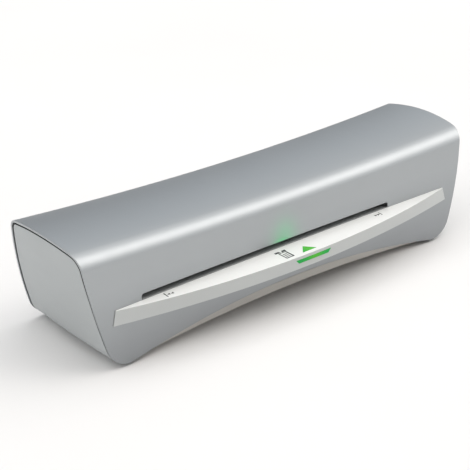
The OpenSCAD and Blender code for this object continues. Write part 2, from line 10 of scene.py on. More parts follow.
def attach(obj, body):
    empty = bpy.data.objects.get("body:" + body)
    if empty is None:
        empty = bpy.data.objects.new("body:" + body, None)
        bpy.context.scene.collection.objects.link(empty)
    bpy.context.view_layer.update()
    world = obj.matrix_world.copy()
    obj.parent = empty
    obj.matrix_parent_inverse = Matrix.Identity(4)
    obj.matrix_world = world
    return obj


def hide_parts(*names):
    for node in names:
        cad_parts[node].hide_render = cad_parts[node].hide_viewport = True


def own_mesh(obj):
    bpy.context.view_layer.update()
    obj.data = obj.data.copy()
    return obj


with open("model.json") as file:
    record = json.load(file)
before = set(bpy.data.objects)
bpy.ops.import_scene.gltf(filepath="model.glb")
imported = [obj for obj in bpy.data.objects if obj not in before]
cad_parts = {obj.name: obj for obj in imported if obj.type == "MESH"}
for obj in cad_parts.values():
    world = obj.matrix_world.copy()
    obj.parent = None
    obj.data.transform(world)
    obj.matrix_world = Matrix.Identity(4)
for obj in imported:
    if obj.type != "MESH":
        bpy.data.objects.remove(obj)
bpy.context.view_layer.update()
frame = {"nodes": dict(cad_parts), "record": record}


scene = bpy.context.scene
scene.view_settings.view_transform = "Standard"
GAIN = 1.0
RIGHT = [(-100, 0.25), (-85, 0.25), (-70, 0.54), (-55, 0.70), (-45, 0.81), (-32, 0.95), (-15, 1.12), (0, 1.32), (14, 1.98), (26, 2.80),
         (38, 3.0), (50, 2.80), (62, 2.05), (74, 1.45), (90, 1.05), (105, 1.0)]
LEFT = [(-100, 0.20), (-80, 0.25), (-40, 0.4), (-18, 1.9), (20, 1.9), (42, 0.18), (60, 0.02), (100, 0.02)]
MM = 0.001

# ------------------------------------------------------------------ camera
AZ, EL = math.radians(-40.26), math.radians(25.12)
cam_data = bpy.data.cameras.new("camera")
cam_data.sensor_width = 36.0
cam_data.lens = 100.667
cam_data.clip_start = 0.05
cam_data.clip_end = 30.0
camera = bpy.data.objects.new("camera", cam_data)
scene.collection.objects.link(camera)
camera.location = (-0.6123, -0.6939, 0.4718)
back = Vector((math.sin(AZ) * math.cos(EL), -math.cos(AZ) * math.cos(EL), math.sin(EL)))
camera.rotation_euler = back.to_track_quat("Z", "Y").to_euler()
scene.camera = camera

# ------------------------------------------------------------------ casing shape, millimetres
SINK = 4.8
FWAIST, BWAIST = 2.0, 3.1
ARCH = 16.4
WALL, GROOVE = 1.7, 1.5
CX, CR, CZ, CA = 155.0, 19.6, 2.0, 72.8
SH, SHR = (-23.4, 77.6), 13.7
CRN, CRNR = (8.2, -91.7), 186.0
BK, BKR = (43.0, 82.2), 8.6
ZFT = SH[1] + SHR * math.sin(math.radians(173))
ZBT = BK[1] + BKR * math.sin(math.radians(9.3))
SX0, SX1, SZ, SHH = -142.5, 102.1, 45.7, 4.4


def half_w(z):
    return 174.2 + 0.31 * (z - 17.4) - 0.00143 * (z - 17.4) ** 2


def bow(y):
    return 2.4 * np.maximum(0, 1 - ((y - 5.4) / 42) ** 2)


def ease(t):
    t = min(1.0, max(0.0, t))
    return t * t * (3 - 2 * t)


def front_y(z):
    return -43.1 + 0.0261 * (z - 2) + 0.000633 * (z - 2) ** 2 + 0.306 * ease((z - 52) / 27.0)


def back_y(z):
    return 60.2 - 0.085 * (z - 12) - 0.00055 * (z - 12) ** 2 + 0.19 * ease((z - 54) / 29.0)


def bendp(x, y, z):
    f = 1 - (x / 188) ** 2
    u = (y + 42.5) / 102
    return x, y + f * (FWAIST * (1 - u) - BWAIST * u), z - SINK * f * np.maximum(0, z - 48) / 44


def panel_y(x, z):
    return float(bendp(float(x), front_y(z), 0.0)[1])


def rear_y(x, z):
    return float(bendp(float(x), back_y(z), 0.0)[1])


def arc(c, r, a0, a1, n, first=0):
    a = np.radians(np.linspace(a0, a1, n + 1))[first:]
    return [(c[0] + r * math.cos(t), c[1] + r * math.sin(t)) for t in a]


def outline(zl, d, nf=30, ns=30, nc=46, nb=20, nr=30):
    """Front, shoulder, crown, rear corner and back of the end profile, inset by d."""
    p = [(front_y(z) + d, z) for z in np.linspace(zl, ZFT, nf + 1)]
    p += arc(SH, SHR - d, 173, 100.4, ns, 1)
    p += arc(CRN, CRNR - d, 100.4, 78.8, nc, 1)
    p += arc(BK, BKR - d, 78.7, 9.3, nb, 1)
    p += [(back_y(z) - d, z) for z in np.linspace(ZBT, zl, nr + 1)][1:]
    return p


# ------------------------------------------------------------------ mesh helpers
def mesh_object(name, verts, faces, mm=True):
    me = bpy.data.meshes.new(name)
    k = MM if mm else 1.0
    me.from_pydata([(float(v[0]) * k, float(v[1]) * k, float(v[2]) * k) for v in verts], [], faces)
    me.validate()
    bm = bmesh.new()
    bm.from_mesh(me)
    bmesh.ops.recalc_face_normals(bm, faces=bm.faces)
    bm.to_mesh(me)
    bm.free()
    o = bpy.data.objects.new(name, me)
    scene.collection.objects.link(o)
    return o


def apply_modifiers(o):
    dg = bpy.context.evaluated_depsgraph_get()
    dg.update()
    me = bpy.data.meshes.new_from_object(o.evaluated_get(dg), depsgraph=dg)
    old = o.data
    o.modifiers.clear()
    o.data = me
    if not old.users:
        bpy.data.meshes.remove(old)


def smooth(o, angle=32.0, weighted=True):
    me = o.data
    me.polygons.foreach_set("use_smooth", [True] * len(me.polygons))
    me.set_sharp_from_angle(angle=math.radians(angle))
    if weighted:
        w = o.modifiers.new("wn", "WEIGHTED_NORMAL")
        w.keep_sharp = True
        w.mode = "FACE_AREA"
        w.weight = 50
        apply_modifiers(o)


def bevel(o, width, segments=3, angle=35.0, weights=False):
    b = o.modifiers.new("bevel", "BEVEL")
    b.width = width * MM
    b.segments = segments
    b.limit_method = "WEIGHT" if weights else "ANGLE"
    b.angle_limit = math.radians(angle)
    b.use_clamp_overlap = True
    b.harden_normals = False
    apply_modifiers(o)


def cut(o, cutter, op="DIFFERENCE"):
    b = o.modifiers.new("cut", "BOOLEAN")
    b.operation = op
    b.solver = "EXACT"
    b.object = cutter
    apply_modifiers(o)
    me = cutter.data
    bpy.data.objects.remove(cutter)
    bpy.data.meshes.remove(me)


def sheet_between(a, b):
    """Closed skin between two grids of points of the same shape."""
    n, m = len(a), len(a[0])
    v = [p for r in a for p in r] + [p for r in b for p in r]
    A = lambda j, k: j * m + k
    B = lambda j, k: n * m + j * m + k
    f = []
    for j in range(n - 1):
        for k in range(m - 1):
            f.append((A(j, k), A(j + 1, k), A(j + 1, k + 1), A(j, k + 1)))
            f.append((B(j, k), B(j, k + 1), B(j + 1, k + 1), B(j + 1, k)))
    for j in range(n - 1):
        f.append((A(j + 1, 0), A(j, 0), B(j, 0), B(j + 1, 0)))
        f.append((A(j, m - 1), A(j + 1, m - 1), B(j + 1, m - 1), B(j, m - 1)))
    for k in range(m - 1):
        f.append((A(0, k), A(0, k + 1), B(0, k + 1), B(0, k)))
        f.append((A(n - 1, k + 1), A(n - 1, k), B(n - 1, k), B(n - 1, k + 1)))
    return v, f


def ring_loft(rings, close_ends=True):
    m = len(rings[0])
    v = [p for r in rings for p in r]
    f = []
    for j in range(len(rings) - 1):
        for k in range(m):
            l = (k + 1) % m
            f.append((j * m + k, (j + 1) * m + k, (j + 1) * m + l, j * m + l))
    if close_ends:
        f.append(tuple(range(m)))
        f.append(tuple((len(rings) - 1) * m + k for k in range(m - 1, -1, -1)))
    return v, f


def merge(parts):
    V, F = [], []
    for v, f in parts:
        n = len(V)
        V += list(v)
        F += [tuple(i + n for i in q) for q in f]
    return V, F


def mouth_cutter(x0, x1, z0, z1, rc, r, yfun, sgn, out, depth, flat_bottom=False, n=60):
    """A slot through the wall whose edge is rounded by r where it meets the surface. sgn +1 goes towards +y."""
    prof = [(-out, r)] + [(r - r * math.cos(p), r - r * math.sin(p)) for p in np.radians(np.linspace(0, 90, 6))] + [(depth, 0.0)]
    rings = []
    for d, e in prof:
        R = rc + e
        xa = [x0 + rc - R * math.cos(t) for t in np.radians(np.linspace(0, 90, 7))]
        xb = [x1 - rc + R * math.cos(t) for t in np.radians(np.linspace(90, 0, 7))]
        mid = list(np.linspace(xa[-1], xb[0], n + 1))[1:-1]
        up = [R * math.sin(t) for t in np.radians(np.linspace(0, 90, 7))]
        xs = xa + mid + xb
        hs = up + [R] * len(mid) + up[::-1]
        top = [(x, z1 - rc + h) for x, h in zip(xs, hs)]
        bot = [(x, z0 if flat_bottom else z0 + rc - h) for x, h in zip(xs, hs)]
        rings.append((d, top, bot))
    V, F = [], []
    c = len(rings[0][1])
    for d, top, bot in rings:
        for x, z in top:
            V.append((x, yfun(x, z) + sgn * d, z))
        for x, z in bot:
            V.append((x, yfun(x, z) + sgn * d, z))
    for j in range(len(rings) - 1):
        a, b = j * 2 * c, (j + 1) * 2 * c
        for k in range(c - 1):
            F.append((a + k, a + k + 1, b + k + 1, b + k))
            F.append((a + c + k, b + c + k, b + c + k + 1, a + c + k + 1))
        F.append((a, b, b + c, a + c))
        F.append((a + c - 1, a + 2 * c - 1, b + 2 * c - 1, b + c - 1))
    for a in (0, (len(rings) - 1) * 2 * c):
        for k in range(c - 1):
            F.append((a + k, a + k + 1, a + c + k + 1, a + c + k))
    return V, F


def lathe(profile, n, origin, axis):
    """Solid of revolution: profile is [(r, h)], from axis to axis or closed, along axis "x", "y" or "z"."""
    V, F = [], []
    closed = profile[0][0] > 1e-6
    for r, h in profile:
        for k in range(n):
            t = 2 * math.pi * k / n
            a, b = r * math.cos(t), r * math.sin(t)
            p = {"x": (h, a, b), "y": (a, h, b), "z": (a, b, h)}[axis]
            V.append((origin[0] + p[0], origin[1] + p[1], origin[2] + p[2]))
    m = len(profile)
    for j in range(m if closed else m - 1):
        i = (j + 1) % m
        for k in range(n):
            l = (k + 1) % n
            F.append((j * n + k, j * n + l, i * n + l, i * n + k))
    return V, F


def clean(o, dist=1e-6):
    bm = bmesh.new()
    bm.from_mesh(o.data)
    bmesh.ops.remove_doubles(bm, verts=bm.verts, dist=dist)
    bmesh.ops.dissolve_degenerate(bm, edges=bm.edges, dist=dist)
    bmesh.ops.recalc_face_normals(bm, faces=bm.faces)
    bm.to_mesh(o.data)
    bm.free()


# ------------------------------------------------------------------ materials
class G:
    """Small helper to wire a material."""

    def __init__(self, name):
        self.m = bpy.data.materials.new(name)
        self.m.use_nodes = True
        self.t = self.m.node_tree
        self.t.nodes.clear()
        self.out = self.t.nodes.new("ShaderNodeOutputMaterial")
        self.b = self.t.nodes.new("ShaderNodeBsdfPrincipled")
        self.t.links.new(self.b.outputs[0], self.out.inputs[0])
        self.co = self.t.nodes.new("ShaderNodeTexCoord").outputs["Object"]

    def n(self, kind, **kw):
        x = self.t.nodes.new(kind)
        for k, v in kw.items():
            setattr(x, k, v)
        return x

    def link(self, a, b):
        self.t.links.new(a, b)

    def noise(self, scale, detail=2.0, rough=0.5, stretch=None):
        x = self.n("ShaderNodeTexNoise")
        x.inputs["Scale"].default_value = scale
        x.inputs["Detail"].default_value = detail
        x.inputs["Roughness"].default_value = rough
        src = self.co
        if stretch:
            mp = self.n("ShaderNodeMapping")
            mp.inputs["Scale"].default_value = stretch
            self.link(src, mp.inputs["Vector"])
            src = mp.outputs[0]
        self.link(src, x.inputs["Vector"])
        return x.outputs[0]

    def voronoi(self, scale, feature="F1"):
        x = self.n("ShaderNodeTexVoronoi", feature=feature)
        x.inputs["Scale"].default_value = scale
        self.link(self.co, x.inputs["Vector"])
        return x.outputs[0]

    def math(self, op, a, b=None, c=None, clamp=False):
        x = self.n("ShaderNodeMath", operation=op)
        x.use_clamp = clamp
        for i, v in enumerate((a, b, c)):
            if v is None:
                continue
            if isinstance(v, (int, float)):
                x.inputs[i].default_value = v
            else:
                self.link(v, x.inputs[i])
        return x.outputs[0]

    def remap(self, v, a, b, lo=0.3, hi=0.7):
        x = self.n("ShaderNodeMapRange")
        x.inputs["From Min"].default_value = lo
        x.inputs["From Max"].default_value = hi
        x.inputs["To Min"].default_value = a
        x.inputs["To Max"].default_value = b
        self.link(v, x.inputs["Value"])
        return x.outputs[0]

    def mix(self, fac, a, b, blend="MIX"):
        x = self.n("ShaderNodeMix", data_type="RGBA", blend_type=blend)
        for i, v in ((0, fac), (6, a), (7, b)):
            if isinstance(v, (int, float)):
                x.inputs[i].default_value = v
            elif isinstance(v, (tuple, list)):
                x.inputs[i].default_value = (*v[:3], 1.0)
            else:
                self.link(v, x.inputs[i])
        return x.outputs[2]

    def bump(self, height, strength, dist):
        x = self.n("ShaderNodeBump")
        x.inputs["Strength"].default_value = strength
        x.inputs["Distance"].default_value = dist
        self.link(height, x.inputs["Height"])
        self.link(x.outputs[0], self.b.inputs["Normal"])
        return x


def tint(c, k):
    return tuple(min(1.0, v * k) for v in c)


def moulded(name, col, var=0.05, rough=(0.42, 0.52), grain=2600.0, strength=0.2, dist=2e-5, metallic=0.0, coat=0.0,
            coat_rough=0.25, spec=0.5, blotch=22.0, fine=0.35, sss=0.0, sss_col=None, finish_and_shade=None):
    """Moulded or painted plastic: broad tone drift, fine grain, handling marks in the roughness, textured bump."""
    g = G(name)
    fine_n = g.noise(grain, 3.0, 0.6)
    wide = g.noise(blotch, 3.0, 0.55)
    marks = g.noise(95.0, 4.0, 0.6, (1.0, 0.35, 1.0))
    c = g.mix(g.remap(wide, 0.0, 1.0, 0.34, 0.66), tint(col, 1 - var), tint(col, 1 + var))
    c = g.mix(g.remap(fine_n, 0.0, fine), c, tint(col, 1 - 2.2 * var))
    if finish_and_shade:
        c = finish_and_shade(g, c)
    g.link(c, g.b.inputs["Base Color"])
    r = g.math("MULTIPLY_ADD", marks, 0.55, g.math("MULTIPLY", fine_n, 0.45))
    g.link(g.remap(r, rough[0], rough[1], 0.38, 0.62), g.b.inputs["Roughness"])
    g.b.inputs["Metallic"].default_value = metallic
    g.b.inputs["Specular IOR Level"].default_value = spec
    g.b.inputs["Coat Weight"].default_value = coat
    g.b.inputs["Coat Roughness"].default_value = coat_rough
    if sss:
        g.b.inputs["Subsurface Weight"].default_value = sss
        g.b.inputs["Subsurface Scale"].default_value = 0.002
        g.b.inputs["Subsurface Radius"].default_value = (1.0, 0.9, 0.8)
    g.bump(fine_n, strength, dist)
    return g


def metal(name, col, rough=(0.25, 0.4), stretch=(1.0, 1.0, 1.0), scale=900.0, strength=0.15, dist=1.5e-5, spangle=0.0, var=0.08):
    g = G(name)
    lines = g.noise(scale, 3.0, 0.6, stretch)
    wide = g.noise(45.0, 3.0, 0.55)
    c = g.mix(g.remap(wide, 0.0, 1.0), tint(col, 1 - var), tint(col, 1 + var))
    c = g.mix(g.remap(lines, 0.0, 0.4), c, tint(col, 1 - 2 * var))
    if spangle:
        c = g.mix(g.math("MULTIPLY", g.voronoi(140.0), spangle), c, tint(col, 0.7))
    g.link(c, g.b.inputs["Base Color"])
    g.link(g.remap(lines, rough[0], rough[1]), g.b.inputs["Roughness"])
    g.b.inputs["Metallic"].default_value = 1.0
    g.bump(lines, strength, dist)
    return g


def gauss(g, cx, cz, sx, sz):
    """Soft spot mask on the front panel around (cx, cz), in metres, used for the painted LED glow."""
    s = g.n("ShaderNodeSeparateXYZ")
    g.link(g.co, s.inputs[0])
    a = g.math("DIVIDE", g.math("SUBTRACT", s.outputs[0], cx), sx)
    b = g.math("DIVIDE", g.math("SUBTRACT", s.outputs[2], cz), sz)
    q = g.math("ADD", g.math("MULTIPLY", a, a), g.math("MULTIPLY", b, b))
    e = g.math("POWER", 2.718, g.math("MULTIPLY", q, -1.0))
    on_front = g.math("LESS_THAN", s.outputs[1], -0.030)
    above = g.math("GREATER_THAN", s.outputs[2], 0.0497)
    return g.math("MULTIPLY", g.math("MULTIPLY", e, on_front), above)


MAT = {}
SLEEVE = (0.408, 0.428, 0.440)
g = moulded("sleeve_silver", SLEEVE, var=0.02, rough=(0.31, 0.36), grain=3400.0, strength=0.10, dist=1.2e-5, metallic=0.80,
            coat=0.1, coat_rough=0.30, spec=0.5, blotch=9.0, fine=0.5)
# painted light: a soft green LED glow on the panel above the slot, mixed into the base colour and emission
painted_led_glow = g.math("ADD", g.math("MULTIPLY", gauss(g, -0.0080, 0.0540, 0.0115, 0.0120), 0.33),
              g.math("MULTIPLY", gauss(g, -0.0125, 0.0500, 0.0065, 0.0022), 0.42), clamp=True)
base_link = g.b.inputs["Base Color"].links[0].from_socket
# painted shade: the base colour darkens toward the lower edge of the panel
painted_shade_z = g.n("ShaderNodeSeparateXYZ")
g.link(g.co, painted_shade_z.inputs[0])
base_link = g.mix(g.remap(painted_shade_z.outputs[2], 0.0, 1.0, 0.018, 0.062), g.mix(1.0, base_link, (0.79, 0.79, 0.80), "MULTIPLY"), base_link)
g.link(g.mix(painted_led_glow, base_link, (0.12, 0.60, 0.27)), g.b.inputs["Base Color"])
g.b.inputs["Emission Color"].default_value = (0.10, 0.62, 0.25, 1.0)
g.link(g.math("MULTIPLY", painted_led_glow, 0.24), g.b.inputs["Emission Strength"])
MAT["sleeve"] = g.m

MAT["end_cap"] = moulded("end_cap_grey", (0.475, 0.50, 0.505), var=0.018, rough=(0.46, 0.56), grain=2400.0, strength=0.16,
                         dist=1.6e-5, metallic=0.12, blotch=11.0, fine=0.4).m
MAT["tray"] = moulded("tray_grey", (0.49, 0.475, 0.445), var=0.04, rough=(0.5, 0.62), grain=1900.0, strength=0.25, dist=2.5e-5,
                      blotch=14.0).m


def shelf_painted_side_shade(g, c):
    """White deck; painted shade greys every face that turns away from up, such as the nose and ends."""
    geo = g.n("ShaderNodeNewGeometry")
    sp = g.n("ShaderNodeSeparateXYZ")
    g.link(geo.outputs["Normal"], sp.inputs[0])
    return g.mix(g.remap(sp.outputs[2], 0.0, 1.0, 0.25, 0.9), g.mix(1.0, c, (0.66, 0.675, 0.68), "MULTIPLY"), c)


# painted shade: shelf faces that turn away from up get a greyer base colour
MAT["shelf"] = moulded("shelf_white", (0.85, 0.86, 0.845), var=0.012, rough=(0.30, 0.40), grain=2800.0, strength=0.07, dist=1e-5,
                       spec=0.4, blotch=10.0, fine=0.25, finish_and_shade=shelf_painted_side_shade).m
MAT["print_dark"] = moulded("print_ink", (0.03, 0.034, 0.038), var=0.12, rough=(0.5, 0.62), grain=4200.0, strength=0.2, dist=8e-6).m
MAT["sill_grey"] = moulded("sill_grey", (0.36, 0.375, 0.38), var=0.03, rough=(0.5, 0.62), strength=0.2).m
MAT["guide_grey"] = moulded("guide_grey", (0.33, 0.345, 0.35), var=0.05, rough=(0.5, 0.62), strength=0.25).m
MAT["black_plastic"] = moulded("black_plastic", (0.022, 0.023, 0.025), var=0.14, rough=(0.38, 0.5), strength=0.22, grain=2000.0).m
MAT["dark_grey_plastic"] = moulded("dark_grey_plastic", (0.075, 0.08, 0.085), var=0.08, rough=(0.42, 0.54), strength=0.25).m
MAT["silicone"] = moulded("silicone_red", (0.42, 0.085, 0.05), var=0.08, rough=(0.55, 0.7), grain=1600.0, strength=0.3, sss=0.1).m
MAT["gear_nylon"] = moulded("nylon_natural", (0.74, 0.72, 0.66), var=0.04, rough=(0.4, 0.52), strength=0.12, sss=0.15).m
MAT["black_rubber"] = moulded("black_rubber", (0.018, 0.018, 0.019), var=0.15, rough=(0.65, 0.8), grain=1500.0, strength=0.35,
                              dist=3e-5, spec=0.3).m
MAT["ceramic"] = moulded("ceramic_white", (0.72, 0.70, 0.62), var=0.06, rough=(0.5, 0.7), grain=1200.0, strength=0.3).m


def mica_flakes(g, c):
    return g.mix(g.math("MULTIPLY", g.voronoi(260.0), 0.6), c, (0.26, 0.16, 0.07))


MAT["mica"] = moulded("mica_sheet", (0.46, 0.33, 0.18), var=0.1, rough=(0.3, 0.55), strength=0.2, finish_and_shade=mica_flakes).m


def board_weave(g, c):
    w = g.n("ShaderNodeTexWave", wave_type="BANDS", bands_direction="X")
    w.inputs["Scale"].default_value = 420.0
    w.inputs["Distortion"].default_value = 1.5
    g.link(g.co, w.inputs["Vector"])
    return g.mix(g.math("MULTIPLY", w.outputs[1], 0.25), c, (0.02, 0.12, 0.05))


MAT["circuit_board"] = moulded("solder_mask", (0.035, 0.2, 0.09), var=0.08, rough=(0.25, 0.4), strength=0.15, finish_and_shade=board_weave).m
MAT["zinc_steel"] = metal("zinc_sheet", (0.60, 0.61, 0.63), rough=(0.3, 0.46), scale=600.0, spangle=0.35).m
MAT["turned_steel"] = metal("turned_steel", (0.66, 0.67, 0.68), rough=(0.18, 0.32), stretch=(6.0, 0.4, 0.4), scale=900.0).m
MAT["screw_steel"] = metal("screw_steel", (0.5, 0.5, 0.51), rough=(0.28, 0.42), scale=1500.0).m
MAT["spring_steel"] = metal("spring_steel", (0.24, 0.245, 0.26), rough=(0.25, 0.4), scale=1500.0).m
MAT["heater_aluminium"] = metal("extruded_aluminium", (0.70, 0.71, 0.72), rough=(0.28, 0.42), stretch=(0.05, 3.0, 3.0), scale=700.0).m
MAT["bronze"] = metal("sintered_bronze", (0.58, 0.42, 0.2), rough=(0.4, 0.58), scale=2600.0, strength=0.35, dist=3e-5).m
MAT["motor_can"] = metal("drawn_can", (0.5, 0.52, 0.54), rough=(0.25, 0.38), stretch=(0.1, 2.0, 2.0), scale=800.0).m

# green light pipe: deeper at its ends and paler over the lamp
g = moulded("light_pipe_green", (0.012, 0.27, 0.05), var=0.05, rough=(0.34, 0.42), grain=1500.0, strength=0.06, spec=0.2)
sep = g.n("ShaderNodeSeparateXYZ")
g.link(g.co, sep.inputs[0])
mid = g.math("POWER", 2.718, g.math("MULTIPLY", g.math("POWER", g.math("DIVIDE", g.math("SUBTRACT", sep.outputs[0], 0.0032), 0.0075), 2.0), -1.0))
lowp = g.math("MULTIPLY", mid, 1.0, clamp=True)
base_link = g.b.inputs["Base Color"].links[0].from_socket
col = g.mix(lowp, base_link, (0.055, 0.33, 0.024))
g.link(col, g.b.inputs["Base Color"])
g.link(col, g.b.inputs["Emission Color"])
g.b.inputs["Emission Strength"].default_value = 0.5
MAT["light_green"] = g.m

NODE_SLOT = {s["node"]: s["material_slot"] for s in frame["record"]["subparts"]}


def piece(o, body, slot, *nodes, mat=None):
    """Gives the piece its finish, puts it on its body, and lets it stand for the CAD nodes."""
    o.data.materials.clear()
    o.data.materials.append(mat or MAT[slot])
    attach(o, body)
    if nodes:
        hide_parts(*nodes)
    return o


for name, node in frame["nodes"].items():
    node.data.materials.clear()
    node.data.materials.append(MAT[NODE_SLOT[name]])
    for p in node.data.polygons:
        p.material_index = 0

BODY = {n: b for b, ns in frame["record"]["behaviour"]["bodies"].items() for n in ns}

# ------------------------------------------------------------------ sleeve
half_low = [(x, CZ + ARCH * (1 - (x / CX) ** 2)) for x in np.linspace(0, CX, 45)]
half_low += [(CX + CR * math.sin(a), CZ + CR * (1 - math.cos(a))) for a in np.radians(np.linspace(0, CA, 11))[1:]]
low = [(-x, z) for x, z in half_low[:0:-1]] + half_low


def sleeve_grid(d, pull=0.0):
    rows = []
    for j, (x, z) in enumerate(low):
        sg = -1 if x < 0 else 1
        s = 1.0 if j in (0, len(low) - 1) else min(1.0, abs(x) / half_w(z))
        row = []
        for y, zz in outline(z, d):
            row.append(bendp(sg * s * (half_w(zz) + bow(y)), y, zz))
        rows.append(row)
    return rows


v, f = sheet_between(sleeve_grid(0.0), sleeve_grid(WALL))
sleeve = mesh_object("sleeve_shell", v, f)
bevel(sleeve, 0.5, 3, 40.0)

slot_cut = mouth_cutter(SX0, SX1, SZ - 0.9, SZ + SHH, 2.1, 0.35, panel_y, 1, 6, 12, flat_bottom=True)
exit_cut = mouth_cutter(SX0 - 2.5, SX1 + 2.5, SZ - 2.1, SZ + SHH + 2.1, 1.5, 0.5, rear_y, -1, 8, 12)
lever_cut = mouth_cutter(119.5, 130.5, 55.5, 71.5, 1.5, 0.5, rear_y, -1, 8, 12, n=12)
switch_cut = mouth_cutter(141.4, 154.6, 56.4, 75.6, 0.8, 0.2, rear_y, -1, 8, 12, n=12)
gland_cut = lathe([(0.0, 44.0), (6.3, 44.0), (6.3, 74.0), (0.0, 74.0)], 48, (150, 0, 26), "y")
v, f = merge([slot_cut, exit_cut, lever_cut, switch_cut, gland_cut])
cutter = mesh_object("cutter", v, f)
clean(cutter)
cut(sleeve, cutter)
smooth(sleeve, 30)
piece(sleeve, "casing", "sleeve", "top_cover")


# ------------------------------------------------------------------ end caps
VC = CZ + CR * (1 - math.cos(math.radians(CA)))
VMIN = VC - CR * math.radians(CA)
CAPD = WALL + GROOVE


def cap_profile(v):
    """x, z and inward direction at the developed height v of the end."""
    if v >= VC:
        k = 0.31 - 0.00286 * (v - 17.4)
        n = math.hypot(1, k)
        return half_w(v), v, -1 / n, k / n
    a = math.radians(CA) - (VC - v) / CR
    return CX + CR * math.sin(a), CZ + CR * (1 - math.cos(a)), -math.sin(a), math.cos(a)


def cap_loop():
    d = CAPD
    front = [(front_y(cap_profile(v)[1]) + d, v) for v in np.linspace(VMIN, VC, 15)]
    front += [(front_y(v) + d, v) for v in np.linspace(VC, ZFT, 34)[1:]]
    p = front
    p += arc(SH, SHR - d, 173, 100.4, 26, 1)
    p += arc(CRN, CRNR - d, 100.4, 78.8, 46, 1)
    p += arc(BK, BKR - d, 78.7, 9.3, 22, 1)
    rear = [(back_y(v) - d, v) for v in np.linspace(ZBT, VC, 34)[1:]]
    rear += [(back_y(cap_profile(v)[1]) - d, v) for v in np.linspace(VC, VMIN, 15)[1:]]
    p += rear
    y0, y1 = p[-1][0], p[0][0]
    p += [(y, VMIN) for y in np.linspace(y0, y1, 41)[1:-1]]
    return np.array(p)


LOOP = cap_loop()
CEN = np.array([8.0, 42.0])
nxt, prv = np.roll(LOOP, -1, 0), np.roll(LOOP, 1, 0)
tan = nxt - prv
tan /= np.linalg.norm(tan, axis=1)[:, None]
nrm = np.stack([tan[:, 1], -tan[:, 0]], 1)
toc = CEN - LOOP
rad = np.linalg.norm(toc, axis=1)
flip = np.sum(nrm * toc, 1) < 0
nrm[flip] *= -1
cosa = np.clip(np.sum(nrm * toc, 1) / rad, 0.25, 1)


def cap_ring(e, h, sg, share=None):
    """Points at inset e from the outline, h below the outer skin."""
    t = (e / cosa / rad) if share is None else share
    q = LOOP + toc * np.reshape(t, (-1, 1))
    out = []
    for y, v in q:
        v = max(v, VMIN - 1.2)
        x, z, ix, iz = cap_profile(v)
        fb = min(1.0, max(0.0, (z - 2) / 14))
        X = x + float(bow(np.float64(y))) * fb - 0.2 + h * ix
        out.append(bendp(sg * X, y, z + h * iz))
    return out


def make_cap(name, sg, node):
    rho = 0.28
    es = [0.0, 0.02, 0.05, 0.1, 0.17, 0.23, 0.28, 0.7, 1.7, 3.4]
    rings = []
    t_last = 3.4 / cosa / rad
    for s in np.linspace(1, 0, 12)[:-1][::-1]:
        rings.append(cap_ring(0, 0, sg, share=t_last + (1 - t_last) * (1 - s)))
    rings = rings[:-1]
    for e in es[::-1]:
        h = rho - math.sqrt(max(0.0, rho ** 2 - (rho - min(e, rho)) ** 2))
        rings.append(cap_ring(e, h, sg))
    for h in (1.6, 3.0, 4.6):
        rings.append(cap_ring(0.0, h, sg))
    rings.append(cap_ring(-0.9, 4.8, sg))
    rings.append(cap_ring(-0.9, 6.4, sg))
    rings.append(cap_ring(2.2, 6.4, sg))
    rings.append(cap_ring(2.2, 3.0, sg))
    rings.append(cap_ring(3.2, 2.5, sg))
    for s in np.linspace(1, 0, 8)[1:-1]:
        rings.append(cap_ring(0, 2.4, sg, share=t_last + (1 - t_last) * (1 - s)))
    m = len(LOOP)
    V = [p for r in rings for p in r]
    F = []
    for j in range(len(rings) - 1):
        for k in range(m):
            l = (k + 1) % m
            F.append((j * m + k, (j + 1) * m + k, (j + 1) * m + l, j * m + l))
    for ring, h in ((0, 0.0), (len(rings) - 1, 2.4)):
        x, z, ix, iz = cap_profile(CEN[1])
        X = x + float(bow(np.float64(CEN[0]))) - 0.2 + h * ix
        V.append(bendp(sg * X, CEN[0], z + h * iz))
        c = len(V) - 1
        for k in range(m):
            F.append((ring * m + k, ring * m + (k + 1) % m, c))
    o = mesh_object(name, V, F)
    clean(o)
    smooth(o, 34)
    piece(o, "casing", "end_cap", node)
    return o


# painted shade: a black strip lining the groove round each end cap stands in for the groove's shadow
def make_groove_shade_strip(name, sg):
    rings = [cap_ring(e, h, sg) for e, h in ((0.04, 0.29), (-0.16, 0.29), (-0.25, 0.4), (-0.25, 4.5), (0.04, 4.5))]
    m, n = len(LOOP), len(rings)
    F = [(j * m + k, (j + 1) % n * m + k, (j + 1) % n * m + (k + 1) % m, j * m + (k + 1) % m) for j in range(n) for k in range(m)]
    o = mesh_object(name, [p for r in rings for p in r], F)
    smooth(o, 30)
    return piece(o, "casing", "black_rubber")


make_cap("end_cap_left_shell", -1, "left_end_cap")
# the black strips at each end cap are painted groove shade
make_groove_shade_strip("end_groove_shade_left", -1)
make_groove_shade_strip("end_groove_shade_right", 1)
make_cap("end_cap_right_shell", 1, "right_end_cap")


# ------------------------------------------------------------------ entry shelf
HW, SBOW, SHT = 165.5, 19.1, 10.75


def shelf_front(t):
    return -41.1 - SBOW * (1 - t * t) - 1.71 * t * t * (1 - t * t)


def shelf_ring(t):
    xt, xb, zb = HW * t, (HW + 3) * t, SZ - SHT
    fb = -42.0 - (SBOW - 1.9) * (1 - t * t)
    ft = shelf_front(t)
    pts = [(xt, ft, SZ), (xb, fb, zb), (xb, panel_y(xb, zb) - 0.04, zb), (xt, panel_y(xt, SZ) - 0.04, SZ)]
    nfront, ntop = 5, 5
    ring = []
    for i in range(nfront):
        w = i / nfront
        ring.append(tuple(pts[0][c] * (1 - w) + pts[1][c] * w for c in range(3)))
    for i in range(ntop):
        w = i / ntop
        ring.append(tuple(pts[1][c] * (1 - w) + pts[2][c] * w for c in range(3)))
    ring.append(pts[2])
    for i in range(ntop):
        w = i / ntop
        ring.append(tuple(pts[3][c] * (1 - w) + pts[0][c] * w for c in range(3)))
    return ring


